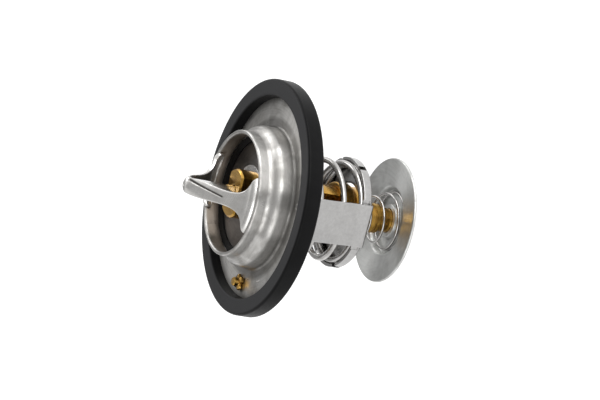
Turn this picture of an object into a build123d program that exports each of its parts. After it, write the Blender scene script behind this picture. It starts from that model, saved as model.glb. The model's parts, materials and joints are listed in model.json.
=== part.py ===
"""Engine thermostat with a rubber-edged flange, a wax element and a spring-loaded bypass disc.

Millimetres. +Z runs up the axis, from the bypass disc to the bridge. The origin is on the axis at
half the thickness of the rubber seal. The bridge and the two cage legs lie in the XZ plane.
"""

import os
from math import atan2, cos, degrees, hypot, pi, radians, sin, sqrt, tan

from build123d import *

# Rubber seal, a ring of U section pushed over the edge of the flange
seal_radius = 33.0
seal_thickness = 4.8
seal_rear_lip = 0.8
seal_front_lip = 4.7
seal_rear_lip_width = 4.2
seal_lip_draft = 0.3
seal_outer_wall = 2.0
seal_edge_round = 0.8

# Flange and neck, drawn from one steel sheet
flange_sheet = 1.1
neck_radius = 17.5
neck_height = 9.7
neck_straight = 2.7
neck_edge_round = 0.5
step_hollow_round = 1.9
step_shoulder_round = 2.5
step_angle = 60.0
flange_corner_round = 0.8
vent_hole_radius = 1.5
punch_inset = 0.9
punch_angle = -62.0
punch_length = 2.4
punch_width = 1.1
punch_depth = 0.35
clinch_ball_radius = 1.5
clinch_depth = 0.35
clinch_pitch = 7.0

# Bridge, a drawn strap that the piston pushes against
bridge_sheet = 1.2
bridge_rise = 14.4
bridge_seat_gap = 0.05
bridge_nose_round = 3.2
bridge_slope = 45.0
bridge_hollow_round = 5.0
bridge_rest_slope = 20.0
bridge_bend_round = 2.0
bridge_foot_depth = 1.4
bridge_nose_width = 5.0
bridge_waist = 4.2
bridge_waist_at = 8.8
bridge_fan_width = 5.8
bridge_fan_at = 12.4
bridge_foot_width = 16.0
bead_width = 0.7
bead_depth = 0.3
bead_start = 1.3
bead_end = 9.0
bead_nose_offset = 1.75
bead_waist_offset = 0.1
pip_radius = 0.7
pip_depth = 0.25

# Cage, one stamping with two legs and a spring dish
cage_sheet = 1.0
dish_neck_gap = 0.8
cage_depth = 24.3
dish_rim_height = 2.0
dish_corner_round = 1.3
dish_leg_root = 4.0
dish_hole_gap = 0.25
leg_width = 12.0
leg_top_gap = 0.5
leg_bend_round = 1.6
foot_length = 4.0
leg_notch_width = 1.1
rim_notch_width = 1.6
rim_notch_angle = 67.0

# Main valve, a stamped plate with rubber moulded on its edge
valve_overlap = 0.3
valve_plate_sheet = 1.0
valve_plate_drop = 3.7
valve_seat_gap = 0.15
valve_rubber_hold = 1.5
valve_rubber_skirt = 0.8
valve_rubber_wall = 0.45
valve_lip_start = 212.0
valve_lip_end = 240.0

# Guide, a brass bush with two flats that slides on the piston
guide_radius = 6.8
guide_flats = 8.6
guide_head = 6.1
guide_length = 32.5
guide_flange_lip = 0.3
guide_flange_height = 1.2
guide_mouth_round = 0.5
piston_radius = 2.0
piston_gap = 0.05
piston_tip_gap = 1.2
piston_seat_gap = 0.05
fit_gap = 0.05

# Snap ring that holds the valve plate on the guide
snap_ring_sheet = 0.8
snap_ring_width = 2.6
snap_groove_depth = 0.9
snap_ring_opening = 70.0

# Wax cup, crimped over the flange of the guide, with a hollow nose and a solid stem
cup_mouth_wall = 0.5
cup_wall = 1.0
cup_depth = 7.2
cup_corner_round = 1.2
crimp_wall = 1.1
crimp_drop = 1.5
nose_radius = 4.2
nose_wall = 1.0
nose_length = 5.3
stem_radius = 3.4
stem_end = 0.5
stem_chamfer = 0.4

# Rubber boot, wax and backing ring inside the cup
boot_wall = 1.0
boot_flange_height = 1.0
boot_length = 5.6
backing_ring_wall = 1.55
backing_ring_height = 1.2

# Main spring
main_wire = 1.8
main_spring_gap = 0.15
main_coils = 4.0
main_end_coils = 0.9

# Bypass disc, spring and clip
bypass_radius = 17.65
bypass_sheet = 0.9
bypass_dish = 0.8
well_depth = 1.9
well_radius = 9.6
well_draft = 0.35
well_corner_round = 0.6
hub_rise = 1.6
hub_draft = 0.55
hub_gap = 0.12
bypass_wire = 0.75
bypass_nose_gap = 0.375
bypass_well_gap = 0.7
bypass_coils = 2.6
bypass_end_coils = 0.8
bypass_travel = 3.2
bypass_stop_gap = 0.3
clip_sheet = 0.6
clip_width = 1.3
clip_hub_gap = 0.5
clip_gap = 0.05
clip_groove_depth = 0.5
clip_opening = 60.0

# Jiggle pin, a loose brass rivet in the vent hole
jiggle_travel = 1.2
jiggle_shank_radius = 1.25
jiggle_wing_length = 4.6
jiggle_wing_width = 1.7
jiggle_wing_height = 0.9
jiggle_stub_height = 2.5
jiggle_plug_radius = 2.3
jiggle_plug_tip = 1.3
jiggle_plug_height = 2.4
jiggle_seat_gap = 0.05

# Levels and radii of the flange, the bridge and the cage
seal_front = seal_thickness / 2
seal_rear = -seal_thickness / 2
flange_rear = seal_rear + seal_rear_lip
flange_front = flange_rear + flange_sheet
flange_edge = seal_radius - seal_outer_wall
neck_top = flange_front + neck_height
neck_bore = neck_radius - flange_sheet
step_top = neck_top - neck_straight
shoulder_radius = neck_radius + (step_hollow_round + step_shoulder_round) * (1 - cos(radians(step_angle)))
flat_start = shoulder_radius + flange_corner_round
seal_front_bore = seal_radius - seal_front_lip
seal_rear_bore = seal_radius - seal_rear_lip_width
vent_radius = (flat_start + seal_front_bore) / 2
punch_radius = vent_radius - punch_inset
apex = neck_top + bridge_rise
bridge_foot = neck_bore - bridge_seat_gap
bridge_foot_bottom = neck_top - bridge_foot_depth
dish_radius = neck_bore - dish_neck_gap
dish_floor = flange_rear - cage_depth
dish_bottom = dish_floor - cage_sheet
dish_top = dish_floor + dish_rim_height
leg_top_radius = shoulder_radius + leg_top_gap
foot_reach = leg_top_radius + foot_length

# Levels and radii of the valve and the wax element
valve_plate_radius = neck_bore + valve_overlap
valve_plate_bottom = step_top - valve_plate_drop
valve_plate_top = valve_plate_bottom + valve_plate_sheet
valve_rubber_bore = valve_plate_radius - valve_rubber_hold
valve_rubber_bottom = valve_plate_bottom - valve_rubber_skirt
guide_top = valve_plate_bottom + guide_head
guide_bottom = guide_top - guide_length
guide_bore = piston_radius + piston_gap
guide_flange_radius = guide_radius + guide_flange_lip
snap_groove_radius = guide_radius - snap_groove_depth
snap_ring_radius = snap_groove_radius + snap_ring_width
backing_ring_radius = guide_bore + backing_ring_wall
boot_bottom = guide_bottom - boot_length
piston_bottom = boot_bottom + boot_wall + piston_tip_gap
cup_radius = guide_flange_radius + cup_mouth_wall
cup_bottom = guide_bottom - cup_depth
crimp_radius = guide_flange_radius + crimp_wall
crimp_bottom = guide_bottom - crimp_drop
nose_bottom = cup_bottom - nose_length
dish_hole_radius = crimp_radius + dish_hole_gap
main_coil_radius = dish_radius - cage_sheet - main_spring_gap - main_wire / 2

# Levels and radii of the bypass disc, its spring and its clip
hub_top = nose_bottom - bypass_travel - bypass_stop_gap
hub_bottom = hub_top - bypass_sheet
well_floor = hub_top - hub_rise
well_floor_radius = well_radius - well_draft
bypass_inner_top = well_floor + well_depth
bypass_edge_top = bypass_inner_top + bypass_dish
clip_radius = stem_radius - clip_groove_depth + fit_gap + clip_width
hub_outer = clip_radius + clip_hub_gap
clip_top = hub_bottom - clip_gap
clip_bottom = clip_top - clip_sheet
stem_bottom = clip_bottom - clip_gap - stem_end
bypass_small_radius = nose_radius + bypass_nose_gap + bypass_wire / 2
bypass_large_radius = well_floor_radius - bypass_well_gap - bypass_wire / 2


def turned(*points):
    """Solid of revolution about Z from a closed outline of (radius, height) points."""
    outline = Polyline(*points, close=True)
    return revolve(Plane.XZ * make_face(outline), Axis.Z)


def bar(length_x, length_y, bottom, top):
    """Rectangular block centred on the axis between two levels."""
    middle = (bottom + top) / 2
    return Pos(0, 0, middle) * Box(length_x, length_y, top - bottom)


def tube(outer, inner, bottom, top):
    """Plain ring between two levels."""
    middle = (bottom + top) / 2
    return Pos(0, 0, middle) * (Cylinder(outer, top - bottom) - Cylinder(inner, top - bottom))


def rod(radius, bottom, top):
    """Plain cylinder between two levels."""
    return Pos(0, 0, (bottom + top) / 2) * Cylinder(radius, top - bottom)


def neck_path(inset):
    """Neck, stepped shoulder and flange as one run of lines and arcs, inset into the sheet."""
    hollow = (neck_radius + step_hollow_round, step_top)
    reach = step_hollow_round + step_shoulder_round
    shoulder = (
        hollow[0] - reach * cos(radians(step_angle)),
        hollow[1] - reach * sin(radians(step_angle)),
    )
    corner = (flat_start, flange_front + flange_corner_round)
    wall = neck_radius - inset
    side = shoulder_radius - inset
    floor = flange_front - inset
    return [
        Line((wall, neck_top), (wall, step_top)),
        CenterArc(hollow, step_hollow_round + inset, 180, step_angle),
        CenterArc(shoulder, step_shoulder_round - inset, 0, step_angle),
        Line((side, shoulder[1]), (side, corner[1])),
        CenterArc(corner, flange_corner_round + inset, 180, 90),
        Line((corner[0], floor), (flange_edge, floor)),
    ]


def flange_shell():
    """Drawn neck and flange with the vent hole, the punch mark and the clinch marks of the legs."""
    edges = neck_path(0) + neck_path(flange_sheet) + [
        Line((neck_bore, neck_top), (neck_radius, neck_top)),
        Line((flange_edge, flange_front), (flange_edge, flange_rear)),
    ]
    shell = revolve(Plane.XZ * make_face(edges), Axis.Z)
    rim = shell.edges().filter_by(GeomType.CIRCLE).group_by(Axis.Z)[-1]
    shell = fillet(rim, neck_edge_round)
    shell -= Pos(0, -vent_radius, 0) * rod(vent_hole_radius, flange_rear - 1, flange_front + 1)
    mark = extrude(SlotOverall(punch_length, punch_width), punch_depth * 2)
    mark_level = flange_front - punch_depth
    shell -= Rot(0, 0, punch_angle) * Pos(punch_radius, 0, mark_level) * Rot(0, 0, 90) * mark
    clinch_radius = (flat_start + foot_reach) / 2
    for side in (-1, 1):
        for place in (-1, 1):
            level = flange_front + clinch_ball_radius - clinch_depth
            centre = Pos(side * clinch_radius, place * clinch_pitch / 2, level)
            shell -= centre * Sphere(clinch_ball_radius)
    return shell


def seal_ring():
    """Rubber ring of U section, with a deep front lip and a thin rear lip."""
    outline = Polyline(
        (seal_front_bore, seal_front),
        (seal_radius, seal_front),
        (seal_radius, seal_rear),
        (seal_rear_bore, seal_rear),
        (seal_rear_bore, flange_rear),
        (flange_edge, flange_rear),
        (flange_edge, flange_front),
        (seal_front_bore - seal_lip_draft, flange_front),
        close=True,
    )
    ring = revolve(Plane.XZ * make_face(outline), Axis.Z)
    rims = ring.edges().filter_by(GeomType.CIRCLE).filter_by(lambda e: abs(e.radius - seal_radius) < 0.01)
    ring = fillet(rims, seal_edge_round)
    lip = ring.edges().filter_by(GeomType.CIRCLE).filter_by(lambda e: abs(e.radius - seal_front_bore) < 0.01)
    return fillet(lip, seal_edge_round / 2)


def bell_path(inset):
    """Side view of the drawn bridge from its nose to the foot in the neck, inset into the sheet."""
    slope = radians(bridge_slope)
    rest = radians(bridge_rest_slope)
    foot = bridge_foot
    nose = (0, apex - bridge_nose_round)
    limb_top = (bridge_nose_round * sin(slope), nose[1] + bridge_nose_round * cos(slope))
    bend_in = foot - bridge_bend_round * (1 - sin(rest))
    limb_low = bend_in - bridge_hollow_round * (sin(slope) - sin(rest))
    limb_low_level = limb_top[1] - (limb_low - limb_top[0]) * tan(slope)
    hollow = (limb_low + bridge_hollow_round * sin(slope), limb_low_level + bridge_hollow_round * cos(slope))
    bend_level = hollow[1] - (bridge_hollow_round + bridge_bend_round) * cos(rest)
    bend = (foot - bridge_bend_round, bend_level)
    across = (inset * sin(slope), inset * cos(slope))
    return [
        CenterArc(nose, bridge_nose_round - inset, 90 - bridge_slope, bridge_slope),
        Line(
            (limb_top[0] - across[0], limb_top[1] - across[1]),
            (limb_low - across[0], limb_low_level - across[1]),
        ),
        CenterArc(hollow, bridge_hollow_round + inset, 270 - bridge_slope, bridge_slope - bridge_rest_slope),
        CenterArc(bend, bridge_bend_round - inset, 0, 90 - bridge_rest_slope),
        Line((foot - inset, bend_level), (foot - inset, bridge_foot_bottom)),
    ]


def bell(outer_inset, inner_inset):
    """Drawn bell between two depths in the sheet, before the strap is cut out of it."""
    foot = bridge_foot
    edges = bell_path(outer_inset) + bell_path(inner_inset) + [
        Line((0, apex - outer_inset), (0, apex - inner_inset)),
        Line((foot - outer_inset, bridge_foot_bottom), (foot - inner_inset, bridge_foot_bottom)),
    ]
    return revolve(Plane.XZ * make_face(edges), Axis.Z)


def bridge():
    """Strap cut from a drawn bell, narrow at the waist and flared where it sits in the neck."""
    nose = bridge_nose_width / 2
    flare = bridge_foot_width / 2
    foot = sqrt(bridge_foot**2 - flare**2)
    side = [
        (0, nose),
        (bridge_waist_at / 2, nose),
        (bridge_waist_at, bridge_waist / 2),
        (bridge_fan_at, bridge_fan_width / 2),
        (foot, flare),
    ]
    limb = Spline(*side, tangents=[(1, 0), (1, 3)]) + Line((foot, flare), (neck_bore, flare))
    limb += mirror(limb, Plane.XZ) + Line((neck_bore, flare), (neck_bore, -flare))
    plan = make_face(limb + mirror(limb, Plane.YZ))
    cutter = Pos(0, 0, bridge_foot_bottom - 1) * extrude(plan, apex - bridge_foot_bottom + 2)
    strap = bell(0, bridge_sheet) & cutter
    fall = bead_waist_offset - bead_nose_offset
    run = bead_end - bead_start
    slot = extrude(SlotOverall(hypot(run, fall), bead_width), apex)
    middle = Pos((bead_start + bead_end) / 2, (bead_nose_offset + bead_waist_offset) / 2, 0)
    bead = bell(-bead_depth, bead_depth) & middle * Rot(0, 0, degrees(atan2(fall, run))) * slot
    strap -= bead + mirror(bead, Plane.YZ)
    strap -= Pos(0, 0, apex + pip_radius - pip_depth) * Sphere(pip_radius)
    return strap


def cage():
    """Spring dish with a guided hole and two splayed legs whose feet lie under the flange."""
    inner = dish_radius - cage_sheet
    dish = turned(
        (dish_hole_radius, dish_bottom),
        (dish_radius, dish_bottom),
        (dish_radius, dish_top),
        (inner, dish_top),
        (inner, dish_floor),
        (dish_hole_radius, dish_floor),
    )
    circles = dish.edges().filter_by(GeomType.CIRCLE)
    outer_corner = circles.filter_by(lambda e: abs(e.radius - dish_radius) < 0.01).group_by(Axis.Z)[0]
    dish = fillet(outer_corner, dish_corner_round)
    circles = dish.edges().filter_by(GeomType.CIRCLE)
    inner_corner = circles.filter_by(lambda e: abs(e.radius - inner) < 0.01).group_by(Axis.Z)[0]
    dish = fillet(inner_corner, dish_corner_round - cage_sheet)
    notch_top = dish_top + 1
    for angle in (0, 180):
        for side in (-1, 1):
            edge = side * (leg_width + leg_notch_width) / 2
            notch = Box(cage_sheet * 4, leg_notch_width, notch_top - dish_floor)
            dish -= Rot(0, 0, angle) * Pos(dish_radius, edge, (notch_top + dish_floor) / 2) * notch
            slot = Box(cage_sheet * 4, rim_notch_width, notch_top - dish_floor)
            turn = angle + side * rim_notch_angle
            dish -= Rot(0, 0, turn) * Pos(dish_radius, 0, (notch_top + dish_floor) / 2) * slot
    leg = leg_solid()
    return dish + leg + Rot(0, 0, 180) * leg - rod(dish_hole_radius, dish_bottom - 1, dish_floor + 1)


def leg_solid():
    """One leg from the dish floor, up its splayed run, to the foot under the flange."""
    foot_level = flange_rear - cage_sheet / 2
    floor_level = dish_bottom + cage_sheet / 2
    line = FilletPolyline(
        (dish_radius - dish_leg_root, floor_level),
        (dish_radius - cage_sheet / 2, floor_level),
        (leg_top_radius - cage_sheet / 2, foot_level),
        (foot_reach, foot_level),
        radius=[dish_corner_round - cage_sheet / 2, leg_bend_round],
    )
    strip = Plane.XZ * trace(line, cage_sheet)
    return extrude(strip, leg_width / 2, both=True)


def main_spring():
    """Right-hand compression spring with closed flat ends, from the dish floor to the valve plate."""
    return spring(
        main_wire, main_coil_radius, main_coil_radius, dish_floor, valve_plate_bottom, main_coils, main_end_coils
    )


def spring(wire, low_radius, high_radius, bottom, top, coils, end_coils):
    """Wire coil on a cone, with end coils of one radius that lie nearly flat."""
    steps_per_turn = 12
    turns = coils + 2 * end_coils
    count = round(turns * steps_per_turn)
    low = bottom + wire / 2
    high = top - wire / 2
    lay = wire * 0.55 * end_coils
    points = []
    for index in range(count + 1):
        turn = turns * index / count
        share = min(max((turn - end_coils) / coils, 0), 1)
        ease = share * share * (3 - 2 * share) * 0.35 + share * 0.65
        end_low = min(turn, end_coils) / end_coils
        end_high = max(turn - turns + end_coils, 0) / end_coils
        level = low + lay * (end_low + end_high) + (high - low - 2 * lay) * ease
        radius = low_radius + (high_radius - low_radius) * ease
        angle = 2 * pi * turn
        points.append((radius * cos(angle), radius * sin(angle), level))
    path = Spline(*points)
    section = Plane(origin=path @ 0, z_dir=path % 0) * Circle(wire / 2)
    return sweep(section, path=path, is_frenet=True)


def double_d(radius, flats, bottom, top):
    """Round bar with two flats, whose normals point along X."""
    return rod(radius, bottom, top) & bar(flats, radius * 2 + 2, bottom, top)


def valve_plate():
    """Stamped disc with a double-D hole, clinched between the spring and the snap ring."""
    plate = rod(valve_plate_radius, valve_plate_bottom, valve_plate_top)
    hole = double_d(guide_radius + fit_gap, guide_flats + 2 * fit_gap, valve_plate_bottom - 1, valve_plate_top + 1)
    return plate - hole


def valve_rubber():
    """Moulded rubber edge whose front follows the hollow of the seat."""
    hollow = (neck_radius + step_hollow_round, step_top)
    reach = step_hollow_round + flange_sheet + valve_seat_gap
    face = CenterArc(hollow, reach, valve_lip_start, valve_lip_end - valve_lip_start)
    first = face @ 0
    last = face @ 1
    shelf = valve_plate_top + valve_rubber_wall
    edges = [
        face,
        Line((last.X, last.Y), (last.X, valve_rubber_bottom)),
        Line((last.X, valve_rubber_bottom), (valve_rubber_bore, valve_rubber_bottom)),
        Line((valve_rubber_bore, valve_rubber_bottom), (valve_rubber_bore, valve_plate_bottom)),
        Line((valve_rubber_bore, valve_plate_bottom), (valve_plate_radius, valve_plate_bottom)),
        Line((valve_plate_radius, valve_plate_bottom), (valve_plate_radius, valve_plate_top)),
        Line((valve_plate_radius, valve_plate_top), (valve_rubber_bore, valve_plate_top)),
        Line((valve_rubber_bore, valve_plate_top), (valve_rubber_bore, shelf)),
        Line((valve_rubber_bore, shelf), (first.X, first.Y)),
    ]
    return revolve(Plane.XZ * make_face(edges), Axis.Z)


def snap_ring():
    """Open spring-steel ring in the groove of the guide, above the valve plate."""
    low = valve_plate_top
    ring = tube(snap_ring_radius, snap_ring_radius - snap_ring_width + fit_gap, low, low + snap_ring_sheet)
    gap_width = 2 * snap_ring_radius * sin(radians(snap_ring_opening / 2))
    cut = Pos(0, -snap_ring_radius, low + snap_ring_sheet / 2) * Box(gap_width, snap_ring_radius, snap_ring_sheet * 2)
    return ring - cut


def guide():
    """Brass bush with two flats, a groove for the snap ring and a flange that the cup is crimped on."""
    body = double_d(guide_radius, guide_flats, guide_bottom, guide_top)
    edge = body.faces().sort_by(Axis.Z)[-1].edges()
    body = chamfer(edge, guide_mouth_round)
    groove_low = valve_plate_top - fit_gap
    groove_high = valve_plate_top + snap_ring_sheet + fit_gap
    body -= tube(guide_radius + 1, snap_groove_radius, groove_low, groove_high)
    body += rod(guide_flange_radius, guide_bottom, guide_bottom + guide_flange_height)
    body -= rod(guide_bore, guide_bottom - 1, guide_top + 1)
    return body - rod(backing_ring_radius, guide_bottom - 1, guide_bottom + backing_ring_height)


def wax_cup():
    """Brass cup with a crimped mouth, a hollow nose and a solid stem with a clip groove."""
    bore = cup_radius - cup_wall
    mouth = guide_bottom + guide_flange_height
    crimp_top = mouth + cup_wall
    pinch = guide_radius + fit_gap
    nose_bore = nose_radius - nose_wall
    groove_low = clip_bottom - clip_gap
    groove_radius = stem_radius - clip_groove_depth
    cup = turned(
        (0, stem_bottom),
        (stem_radius - stem_chamfer, stem_bottom),
        (stem_radius, stem_bottom + stem_chamfer),
        (stem_radius, groove_low),
        (groove_radius, groove_low),
        (groove_radius, hub_bottom),
        (stem_radius, hub_bottom),
        (stem_radius, nose_bottom),
        (nose_radius, nose_bottom),
        (nose_radius, cup_bottom),
        (cup_radius, cup_bottom),
        (cup_radius, crimp_bottom),
        (crimp_radius, crimp_bottom),
        (crimp_radius, crimp_top),
        (pinch, crimp_top),
        (pinch, mouth),
        (guide_flange_radius, mouth),
        (guide_flange_radius, guide_bottom - boot_flange_height),
        (bore, guide_bottom - boot_flange_height),
        (bore, cup_bottom + cup_wall),
        (nose_bore, cup_bottom + cup_wall),
        (nose_bore, nose_bottom + nose_wall),
        (0, nose_bottom + nose_wall),
    )
    circles = cup.edges().filter_by(GeomType.CIRCLE)
    base = circles.filter_by(lambda e: abs(e.radius - cup_radius) < 0.01).group_by(Axis.Z)[0]
    cup = fillet(base, cup_corner_round)
    circles = cup.edges().filter_by(GeomType.CIRCLE)
    crimp = circles.filter_by(lambda e: abs(e.radius - crimp_radius) < 0.01)
    return fillet(crimp, (crimp_radius - cup_radius) * 0.8)


def rubber_boot():
    """Closed rubber sleeve round the tip of the piston, its flange clamped under the guide."""
    skirt = guide_bore + boot_wall
    flange_low = guide_bottom - boot_flange_height
    body = rod(skirt, boot_bottom, guide_bottom) + rod(guide_flange_radius, flange_low, guide_bottom)
    return body - rod(guide_bore, boot_bottom + boot_wall, guide_bottom + 1)


def wax_charge():
    """Wax that fills the cup and its nose round the boot."""
    bore = cup_radius - cup_wall
    top = guide_bottom - boot_flange_height
    fill = rod(bore, cup_bottom + cup_wall, top) + rod(nose_radius - nose_wall, nose_bottom + nose_wall, top)
    return fill - rod(guide_bore + boot_wall, boot_bottom, top + 1)


def backing_ring():
    """Hard plastic ring that keeps the boot out of the bore of the guide."""
    return tube(backing_ring_radius, guide_bore, guide_bottom, guide_bottom + backing_ring_height)


def piston():
    """Polished steel pin with a domed tip under the nose of the bridge."""
    crown = apex - bridge_sheet - piston_seat_gap - piston_radius
    pin = rod(piston_radius, piston_bottom, crown)
    pin = chamfer(pin.faces().sort_by(Axis.Z)[0].edges(), piston_radius * 0.2)
    return pin + Pos(0, 0, crown) * Sphere(piston_radius)


def bypass_disc():
    """Dished disc with a central well for the spring and a raised hub that slides on the stem."""
    hole = stem_radius + hub_gap
    hub_foot = hub_outer + hub_draft
    disc = turned(
        (bypass_radius, bypass_edge_top),
        (well_radius, bypass_inner_top),
        (well_floor_radius, well_floor),
        (hub_foot, well_floor),
        (hub_outer, hub_top),
        (hole, hub_top),
        (hole, hub_bottom),
        (hub_outer, hub_bottom),
        (hub_foot, well_floor - bypass_sheet),
        (well_floor_radius + bypass_sheet, well_floor - bypass_sheet),
        (well_radius + bypass_sheet, bypass_inner_top - bypass_sheet),
        (bypass_radius, bypass_edge_top - bypass_sheet),
    )
    circles = disc.edges().filter_by(GeomType.CIRCLE)
    rims = circles.filter_by(lambda e: abs(e.radius - bypass_radius) < 0.01)
    disc = fillet(rims, bypass_sheet * 0.35)
    circles = disc.edges().filter_by(GeomType.CIRCLE)
    bends = circles.filter_by(
        lambda e: abs(e.center().Z - bypass_inner_top) < 0.01 or abs(e.center().Z - well_floor + bypass_sheet) < 0.01
    )
    return fillet(bends, well_corner_round)


def bypass_spring():
    """Thin conical spring, small under the cup and wide in the well of the disc."""
    return spring(
        bypass_wire, bypass_large_radius, bypass_small_radius, well_floor, cup_bottom, bypass_coils, bypass_end_coils
    )


def stem_clip():
    """Open spring clip in the groove at the end of the stem."""
    ring = tube(clip_radius, clip_radius - clip_width, clip_bottom, clip_top)
    gap_width = 2 * clip_radius * sin(radians(clip_opening / 2))
    return ring - Pos(clip_radius, 0, clip_bottom) * Box(clip_radius, gap_width, clip_sheet * 4)


def jiggle_pin():
    """Loose rivet with a staked four-winged head in front and a tapered plug behind the flange."""
    seat = flange_front + jiggle_seat_gap
    plug_top = flange_rear - jiggle_travel - jiggle_seat_gap
    wing = extrude(SlotOverall(jiggle_wing_length, jiggle_wing_width), jiggle_wing_height)
    wings = Pos(0, 0, seat) * (Rot(0, 0, 35) * wing + Rot(0, 0, -55) * wing)
    stub = rod(jiggle_shank_radius, plug_top, seat + jiggle_stub_height)
    stub = fillet(stub.faces().sort_by(Axis.Z)[-1].edges(), jiggle_shank_radius * 0.5)
    plug = turned(
        (0, plug_top - jiggle_plug_height),
        (jiggle_plug_tip, plug_top - jiggle_plug_height),
        (jiggle_plug_radius, plug_top - jiggle_plug_height * 0.3),
        (jiggle_plug_radius, plug_top),
        (0, plug_top),
    )
    return Pos(0, -vent_radius, 0) * (wings + stub + plug)


pieces = {
    "flange_shell": flange_shell,
    "seal_ring": seal_ring,
    "bridge": bridge,
    "cage": cage,
    "main_spring": main_spring,
    "piston": piston,
    "valve_plate": valve_plate,
    "valve_rubber": valve_rubber,
    "snap_ring": snap_ring,
    "guide": guide,
    "wax_cup": wax_cup,
    "wax_charge": wax_charge,
    "rubber_boot": rubber_boot,
    "backing_ring": backing_ring,
    "bypass_spring": bypass_spring,
    "bypass_disc": bypass_disc,
    "stem_clip": stem_clip,
    "jiggle_pin": jiggle_pin,
}

os.makedirs("parts", exist_ok=True)
for name, make in pieces.items():
    solid = make()
    export_step(solid, f"parts/{name}.step")
    print(f"{name:16s} {solid.volume:9.1f} mm3")
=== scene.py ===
"""Looks of the engine thermostat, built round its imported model. Millimetres until the mesh is made."""

import json

import bpy
import numpy as np
from mathutils import Matrix, Vector


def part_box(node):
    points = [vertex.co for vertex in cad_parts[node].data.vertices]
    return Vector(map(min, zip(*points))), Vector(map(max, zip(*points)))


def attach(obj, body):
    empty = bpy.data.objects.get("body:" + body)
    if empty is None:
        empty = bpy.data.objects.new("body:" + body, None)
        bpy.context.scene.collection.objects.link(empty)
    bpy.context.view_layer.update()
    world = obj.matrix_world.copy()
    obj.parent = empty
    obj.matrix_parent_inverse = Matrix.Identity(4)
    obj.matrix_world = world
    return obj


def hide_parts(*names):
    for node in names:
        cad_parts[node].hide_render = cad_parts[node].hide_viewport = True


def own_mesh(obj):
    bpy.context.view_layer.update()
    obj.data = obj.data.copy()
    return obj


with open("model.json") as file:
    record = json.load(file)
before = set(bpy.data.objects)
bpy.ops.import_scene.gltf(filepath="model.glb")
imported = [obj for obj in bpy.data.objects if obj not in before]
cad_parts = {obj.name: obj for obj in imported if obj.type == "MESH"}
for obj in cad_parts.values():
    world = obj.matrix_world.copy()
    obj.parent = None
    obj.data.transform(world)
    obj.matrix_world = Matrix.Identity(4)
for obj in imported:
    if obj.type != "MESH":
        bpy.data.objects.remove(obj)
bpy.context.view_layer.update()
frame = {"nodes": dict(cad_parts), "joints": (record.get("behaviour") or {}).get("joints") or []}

# Flange and neck
# The body of the valve: one stainless sheet, drawn into a stepped neck with a flat flange round it.
# The press leaves a satin skin with faint rings, and the feet of the cage are clinched through from behind.
MM = 0.001
TURN_STEPS = 320
sheet = 1.1
neck_radius = 17.5
neck_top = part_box("flange_shell")[1].z / MM
neck_round = 0.5
neck_straight = 2.7
step_top = neck_top - neck_straight
hollow_round = 1.9
shoulder_round = 2.5
step_angle = 60.0
corner_round = 0.8
flange_front = -0.5
flange_edge = 31.0
vent_radius = 24.4
vent_hole = 1.5
vent_low = -3
vent_high = 2
clinch_radius = 22.35
clinch_pitch = 7.0
clinch_ball = 1.5
clinch_depth = 0.35
punch_angle = -62.0
punch_radius = 23.5
punch_width = 1.1
punch_length = 2.4
punch_depth = 0.35


def arc(across, level, radius, start, end, steps=10):
    """Points of a circular arc: centre plus radius times the cosine and sine of evenly spaced degrees."""
    angle = np.radians(np.linspace(start, end, steps + 1))
    return np.stack([across + radius * np.cos(angle), level + radius * np.sin(angle)], 1)


def run(start, end, steps):
    """Points spaced evenly on a straight line, with its first end and without its last."""
    share = np.arange(steps)[:, None] / steps
    return np.array(start) * (1 - share) + np.array(end) * share


def placed(name, data):
    """New object in the scene that holds a mesh, a lamp or a camera."""
    holder = bpy.data.objects.new(name, data)
    bpy.context.scene.collection.objects.link(holder)
    return holder


def skin(name, grid, close_u=True, close_v=True):
    """Mesh of quads over a grid of points; a pole's points merge, and a closed skin is turned outwards."""
    rows, columns = grid.shape[:2]
    index = np.arange(rows * columns).reshape(rows, columns)
    if close_u:
        index = np.concatenate([index, index[:1]], 0)
    if close_v:
        index = np.concatenate([index, index[:, :1]], 1)
    corners = [index[:-1, :-1], index[1:, :-1], index[1:, 1:], index[:-1, 1:]]
    quads = np.stack(corners, -1).reshape(-1, 4)
    points = grid.reshape(-1, 3) * MM
    a, b, c, d = (points[quads[:, i]] for i in range(4))
    volume = np.sum(a * np.cross(b, c)) + np.sum(a * np.cross(c, d))
    if volume < 0:
        quads = quads[:, ::-1]
    mesh = bpy.data.meshes.new(name)
    mesh.from_pydata(points.tolist(), [], quads.tolist())
    mesh.validate()
    piece = placed(name, mesh)
    weld = piece.modifiers.new("weld", "WELD")
    weld.merge_threshold = 1e-6
    bake(piece)
    return smooth(piece)


def bake(piece):
    """Replaces a piece's mesh by what its modifiers make of it."""
    graph = bpy.context.evaluated_depsgraph_get()
    made = bpy.data.meshes.new_from_object(piece.evaluated_get(graph))
    piece.modifiers.clear()
    piece.data = made
    made.name = piece.name


def smooth(piece, angle=38.0):
    """Smooth shading with the edges sharper than the angle kept."""
    piece.data.shade_smooth()
    piece.data.set_sharp_from_angle(angle=np.radians(angle))
    return piece


def full_turn(steps):
    """Evenly spaced angles of one whole turn, from zero."""
    return np.linspace(0, 2 * np.pi, steps, endpoint=False)


def round_grid(radius, angle, level, centre=(0, 0, 0)):
    """Points at a centre, plus the radius times the cosine and sine of the angle, plus the level."""
    level = level + 0 * radius * angle
    return np.stack([radius * np.cos(angle), radius * np.sin(angle), level], -1) + np.array(centre)


def turned(name, outline, steps=TURN_STEPS):
    """Lathe form: each outline point (radius, level) goes round the axis at evenly spaced angles."""
    return skin(name, round_grid(outline[None, :, 0], full_turn(steps)[:, None], outline[None, :, 1]))


def cut(piece, cutter, how="DIFFERENCE"):
    """Boolean of a piece with a cutter that is then thrown away."""
    step = piece.modifiers.new("cut", "BOOLEAN")
    step.operation = how
    step.solver = "EXACT"
    step.object = cutter
    bake(piece)
    bpy.data.objects.remove(cutter)
    smooth(piece)


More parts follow.
